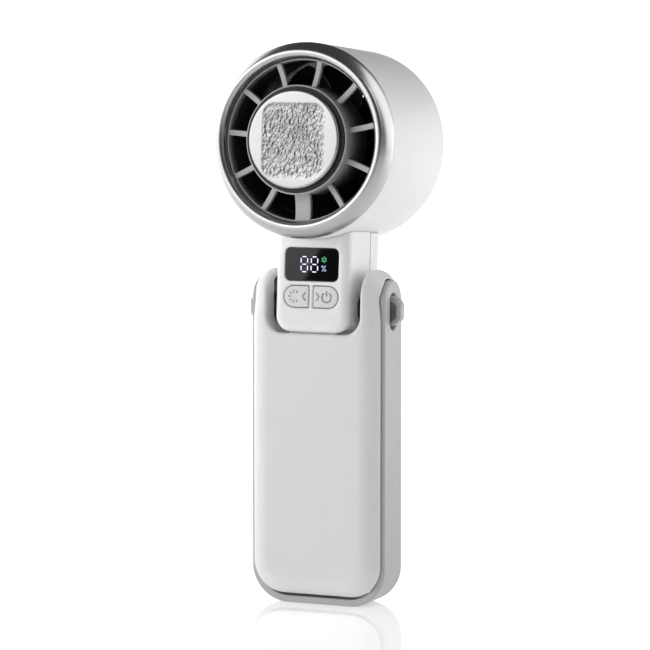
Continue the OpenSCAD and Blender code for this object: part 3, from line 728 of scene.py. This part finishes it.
PLATE_R = 17.1
PLATE_FACE = -32.7
PLATE_EDGE = 0.7
PATCH = (-12.4, 12.4, -13.6, 13.6)
PATCH_R, PATCH_DROP = 5.0, 0.5
SPOKES = 11
SPOKE_WIDTH, WIDE_SPOKE = 2.0, 5.9
HEAD_FRONT, GRILLE_SEAT = -23.5, -25.3
GRILLE_TURN = math.radians(3)


def patch_distance(x, z):
    """Distance to the hammered patch, with z measured from the head's middle."""
    return float(rect(x, z + PATCH_DROP, *PATCH, PATCH_R))


def plate_relief(vertices):
    """Hammers a rounded square into the face of the cold plate, in the upright head's frame."""
    shaped = []
    for x, y, z in vertices:
        depth = float(smooth_step(-patch_distance(x, z - HEAD_Z) / 3.0))
        if y < PLATE_FACE + 0.02 and depth > 0:
            across, along = 0.92 * x - 0.39 * z, 0.92 * z + 0.39 * x
            bend = noise.noise(Vector((x * 0.3, 3.7, z * 0.3)))
            ridge = noise.noise(Vector((across * 1.15 + bend, 0.0, along * 0.62)))
            grit = noise.noise(Vector((across * 2.3, 5.0, along * 1.4 + bend)))
            y += (0.35 + 0.65 * depth) * min(1.0, depth * 3) * (0.2 + 0.34 * ridge + 0.16 * grit)
        shaped.append((x, max(y, PLATE_FACE), z))
    return shaped


def make_cold_plate():
    """A disc with a rounded rim, whose hammered patch has its own material."""
    face = [(r, PLATE_FACE) for r in np.linspace(0, PLATE_R - PLATE_EDGE, 96)]
    rim = arc_points((PLATE_R - PLATE_EDGE, PLATE_FACE + PLATE_EDGE), PLATE_EDGE, -90, 0, 5)[1:]
    back = [(PLATE_R, -31.0), (PLATE_R - 0.3, -30.8), (PLATE_R - 0.9, -30.8)]
    back += [(PLATE_R - 0.9, -29.2), (0, -29.2)]
    plate = lathe("cold_plate_disc", face + rim + back, 300, plate_relief)
    finish_piece(plate, "head", PLATE, ["cold_plate"])
    plate.data.materials.append(HAMMERED)
    for polygon in plate.data.polygons:
        place = polygon.center / MM
        upright_z = place.y * math.sin(LEAN) + (place.z - PIVOT_Z) * math.cos(LEAN) + PIVOT_Z
        polygon.material_index = int(patch_distance(place.x, upright_z - HEAD_Z) < -0.35 and place.y < -20)


def make_housing():
    rear, wall, front_edge, rear_edge = 26.0, 2.0, 0.35, 4.2
    profile = [(HEAD_R - wall, HEAD_FRONT), (HEAD_R - front_edge, HEAD_FRONT)]
    profile += arc_points((HEAD_R - front_edge, HEAD_FRONT + front_edge), front_edge, -90, 0, 4)[1:]
    profile += arc_points((HEAD_R - rear_edge, rear - rear_edge), rear_edge, 0, 90, 14)
    profile += arc_points((28.7, rear - 0.5), 0.5, 90, 180, 4)
    profile += [(28.2, 21), (HEAD_R - wall, 21)]
    finish_piece(lathe("head_drum", profile, 256), "head", HEAD, ["head_housing"])


def make_bezel():
    """A short inner wall, a round bright bead at the front and a bowed face outside."""
    bead, bead_r, bow = (DUCT_R + 1.85, -27.7), 1.8, 0.46
    profile = [(DUCT_R, GRILLE_SEAT)] + [(DUCT_R + 0.05 * t, GRILLE_SEAT - 2.2 * t) for t in (0.3, 0.6, 1)]
    profile += arc_points(bead, bead_r, 178, 328, 32)
    start, end = np.array(profile[-1]), np.array((HEAD_R, HEAD_FRONT))
    way = end - start
    normal = np.array((way[1], -way[0])) / np.hypot(*way)
    for t in np.linspace(0, 1, 22)[1:]:
        profile.append(tuple(start + way * t + normal * bow * 4 * t * (1 - t)))
    profile += [(HEAD_R - 2, HEAD_FRONT), (HEAD_R - 2, GRILLE_SEAT)]
    finish_piece(lathe("bezel_ring", profile, 256), "head", BEZEL, ["front_bezel"])


def spoke_data(turn, width):
    """One spoke, which sags backwards between the duct and the hub ring, as vertices and faces."""
    sag = []
    for t in np.linspace(0, 1, 13):
        sag.append((DUCT_R - 0.4 + (HUB_R - DUCT_R + 0.1) * t, 2.8 * t * (1 - t) + 0.2 * t))
    outline = [(r, y - 26.3) for r, y in sag] + [(r, y - 24.5) for r, y in reversed(sag)]
    c, s = math.cos(turn), math.sin(turn)
    vertices = []
    for across in (-width / 2, width / 2):
        vertices += [(across * c - r * s, y, HEAD_Z - across * s - r * c) for r, y in outline]
    count = len(outline)
    faces = [list(range(count)), list(range(2 * count - 1, count - 1, -1))]
    faces += [[i, count + i, count + (i + 1) % count, (i + 1) % count] for i in range(count)]
    return to_head(vertices), faces


def make_grille():
    spokes = [spoke_data(2 * math.pi * i / SPOKES - GRILLE_TURN, SPOKE_WIDTH if i else WIDE_SPOKE)
              for i in range(SPOKES)]
    star = outward(joined("grille_spokes", spokes))
    finish_piece(star, "head", GRILLE, ["front_grille"])
    bevel(star, 0.35, 3, 50)
    hub = [(HUB_R - 0.7, -12)] + arc_points((HUB_R - 0.35, -29.85), 0.35, 180, 360, 8) + [(HUB_R, -12)]
    finish_piece(lathe("grille_hub_ring", hub, 200), "head", GRILLE, ["front_grille"])
    rim = [(DUCT_R - 0.7, -22)] + arc_points((DUCT_R - 0.4, -25.7), 0.3, 180, 300, 5)
    rim += [(DUCT_R - 0.02, GRILLE_SEAT), (DUCT_R - 0.02, -22)]
    finish_piece(lathe("grille_outer_ring", rim, 200), "head", GRILLE, ["front_grille"])


def make_duct():
    """The dark liner between the head's drum and the air."""
    outer, flange, rear = HEAD_R - 2.05, DUCT_R + 1.6, 21
    profile = [(DUCT_R, -25.25), (outer, -25.25), (outer, -23.8), (flange, -23.8), (flange, rear - 1.5)]
    profile += [(outer, rear - 1.5), (outer, rear), (DUCT_R, rear)]
    finish_piece(lathe("duct_liner", profile, 200), "head", BLACK, ["air_duct"])


REAR_RIBS = 8


def make_rear_grille():
    """The guard over the intake: rings, ribs and a small cap."""
    rings = [rounded_outline(26.4, 28.2, 24, 25.7, 0.3, 3), rounded_outline(3.2, 5, 24, 25.7, 0.4, 3)]
    rings += [rounded_outline(r - 0.5, r + 0.5, 24.2, 25.5, 0.35, 3) for r in range(9, 26, 4)]
    parts = [lathe_data(ring, 160) for ring in rings]
    grille = outward(joined("rear_guard_rings", parts))
    finish_piece(grille, "head", BLACK, ["rear_grille"])
    ribs = []
    for i in range(REAR_RIBS):
        turn = 2 * math.pi * i / REAR_RIBS
        c, s = math.cos(turn), math.sin(turn)
        corners = [(a, r) for a, r in ((-0.6, 4), (0.6, 4), (0.6, 27.2), (-0.6, 27.2))]
        vertices = [(a * c - r * s, y, HEAD_Z - a * s - r * c) for y in (24.15, 25.45) for a, r in corners]
        faces = [[0, 1, 2, 3], [7, 6, 5, 4]] + [[k, 4 + k, 4 + (k + 1) % 4, (k + 1) % 4] for k in range(4)]
        ribs.append((to_head(vertices), faces))
    bars = outward(joined("rear_guard_ribs", ribs))
    finish_piece(bars, "head", BLACK, ["rear_grille"])
    bevel(bars, 0.3, 3)
    cap = [(0, 24), (3.3, 24), (3.3, 25.9)] + [(3.3 - 3.3 * t, 25.9 + 0.05 * t) for t in (0.5, 1)]
    finish_piece(lathe("rear_guard_cap", cap, 64), "head", BLACK, ["rear_grille"])


# ---- Impeller ----

BLADES = 9
BLADE_ROOT, BLADE_TIP = 16.2, 27.7
BLADE_FRONT, BLADE_BACK = -7.9, 7.5


def blade_data(turn):
    """A twisted, cambered blade from the hub to the tip, as vertices and faces."""
    sections, around = 9, 22
    vertices = []
    for k in range(sections):
        v = k / (sections - 1)
        r = BLADE_ROOT + (BLADE_TIP - BLADE_ROOT) * v
        pitch = math.radians(38 - 6 * v)
        half = 12 + 2.4 * v
        lead = 0.3 * v * v
        for j in range(around):
            a = 2 * math.pi * j / around
            along = math.cos(a)
            thick = (0.75 - 0.25 * v) * math.sin(a) * (1 - 0.35 * along) + 0.9 * (1 - along * along)
            swing = half * along * math.cos(pitch) - thick * math.sin(pitch)
            depth = half * along * math.sin(pitch) + thick * math.cos(pitch)
            angle = turn + lead + swing / r
            y = max(BLADE_FRONT, min(BLADE_BACK, depth - 0.4))
            vertices.append((r * math.sin(angle), y, HEAD_Z - r * math.cos(angle)))
    faces = [list(range(around)), list(range(sections * around - 1, (sections - 1) * around - 1, -1))]
    for k in range(sections - 1):
        for j in range(around):
            m = (j + 1) % around
            faces.append([k * around + j, (k + 1) * around + j, (k + 1) * around + m, k * around + m])
    return to_head(vertices), faces


def make_impeller():
    """The rotor's cup-shaped hub and its blades."""
    hub = [(0, -9)] + arc_points((14.3, -6.8), 2.2, -90, 0, 8)
    hub += [(16.5, 8), (14.95, 8), (14.95, -7.35), (2.6, -7.35), (2.6, -3.8), (1.05, -3.8), (1.05, -8), (0, -8)]
    finish_piece(lathe("rotor_hub", hub, 128), "fan_rotor", BLADE, ["impeller"])
    blades = outward(joined("rotor_blades", [blade_data(2 * math.pi * i / BLADES) for i in range(BLADES)]))
    finish_piece(blades, "fan_rotor", BLADE, ["impeller"])


# ---- Stage ----

VIEW_AZIMUTH, VIEW_ELEVATION = math.radians(23.8777), math.radians(5.0549)
VIEW_TARGET = Vector((-0.583, -0.258, 99.507)) * MM
VIEW_DISTANCE = 1092.85 * MM
LENS = 169.70


def make_camera():
    side, up = math.sin(VIEW_AZIMUTH), math.sin(VIEW_ELEVATION)
    away = Vector((side * math.cos(VIEW_ELEVATION), -math.cos(VIEW_AZIMUTH) * math.cos(VIEW_ELEVATION), up))
    data = bpy.data.cameras.new("photo_angle")
    data.lens = LENS
    data.sensor_width = 36
    data.clip_start = 0.05
    data.clip_end = 20
    camera = bpy.data.objects.new("photo_angle", data)
    camera.location = VIEW_TARGET + away * VIEW_DISTANCE
    camera.rotation_euler = away.to_track_quat("Z", "Y").to_euler()
    bpy.context.scene.collection.objects.link(camera)
    bpy.context.scene.camera = camera


def area_light(name, place, back, size, radiance, upright=(0, 0, 1)):
    """A soft rectangular lamp at place, in metres, turned away from back, its long side near upright."""
    back = Vector(back).normalized()
    side = Vector(upright).cross(back).normalized()
    data = bpy.data.lights.new(name, "AREA")
    data.shape = "RECTANGLE"
    data.size, data.size_y = size
    data.energy = radiance * math.pi * size[0] * size[1]
    lamp = bpy.data.objects.new(name, data)
    lamp.matrix_world = Matrix.Translation(place) @ Matrix((side, back.cross(side), back)).transposed().to_4x4()
    bpy.context.scene.collection.objects.link(lamp)


def edge_of_card(distance, half_width, upright):
    """Centre and back of a card whose slanted edge is mirrored in the middle of the display window."""
    camera = bpy.context.scene.camera.location
    window = Vector(to_head([-0.2, -NECK_FRONT, 121.1])) * MM
    normal = Vector(-AXIS)
    view = (camera - window).normalized()
    back = 2 * normal.dot(view) * normal - view
    side = Vector(upright).cross(back).normalized()
    return window + back * distance - side * half_width, back


def make_floor():
    """A pale sheet that curves up behind the object and glows, most of all behind it."""
    half, front, back, bend = 2.0, -2.0, 1.0, 0.5
    path = [(front, 0), (back, 0)]
    for a in np.radians(np.linspace(7.5, 90, 12)):
        path.append((back + bend * math.sin(a), bend - bend * math.cos(a)))
    vertices = [(side / MM, y / MM, z / MM) for y, z in path for side in (-half, half)]
    faces = [(2 * i, 2 * i + 1, 2 * i + 3, 2 * i + 2) for i in range(len(path) - 1)]
    floor = new_object("floor", vertices, faces)
    material, nodes, links, surface = shader("floor_look", (0.93, 0.93, 0.93), 0.07, 0.0, 0.5)
    cloud = grain(nodes, links, place_coordinates(nodes, links), 60.0, 2.0)
    pale = tint(nodes, links, cloud, (0.92, 0.92, 0.92), (0.94, 0.94, 0.94))
    links.new(pale, surface.inputs["Base Color"])
    links.new(pale, surface.inputs["Emission Color"])
    place = nodes.new("ShaderNodeSeparateXYZ")
    links.new(place_coordinates(nodes, links), place.inputs["Vector"])
    glow = nodes.new("ShaderNodeMapRange")
    for name, value in (("From Min", 0.05), ("From Max", 0.6), ("To Min", 0.34), ("To Max", 1.0)):
        glow.inputs[name].default_value = value
    links.new(place.outputs["Y"], glow.inputs["Value"])
    links.new(glow.outputs["Result"], surface.inputs["Emission Strength"])
    floor.data.materials.append(material)


def make_world():
    world = bpy.data.worlds.new("studio")
    bpy.context.scene.world = world
    world.use_nodes = True
    background = world.node_tree.nodes["Background"]
    background.inputs["Color"].default_value = (1, 1, 1, 1)
    background.inputs["Strength"].default_value = 0.06


def make_lights():
    """A wide key high at the front left, a wall of light on each side, a card for the glass, a dark top."""
    middle = Vector((0, 0, 0.12))
    for name, way, distance, size, radiance in (
            ("key", (-0.42, -0.82, 0.38), 1.2, (1.4, 0.8), 1.75),
            ("left_wall", (-0.96, 0.2, 0.18), 1.05, (1.5, 1.05), 2.0),
            ("right_wall", (0.85, 0.42, 0.5), 1.15, (1.2, 1.35), 1.8)):
        back = Vector(way).normalized()
        area_light(name, middle + back * distance, back, size, radiance)
    slant = (0.4, 0, 0.915)
    place, back = edge_of_card(1.1, 0.45, slant)
    area_light("left_card", place, back, (0.9, 1.0), 1.3, slant)


make_camera()
make_world()
make_lights()
make_floor()
dress_cad_nodes()
make_handle()
make_neck()
make_buttons()
make_housing()
make_bezel()
make_grille()
make_duct()
make_cold_plate()
make_rear_grille()
make_impeller()
bpy.context.scene.view_settings.view_transform = "Standard"
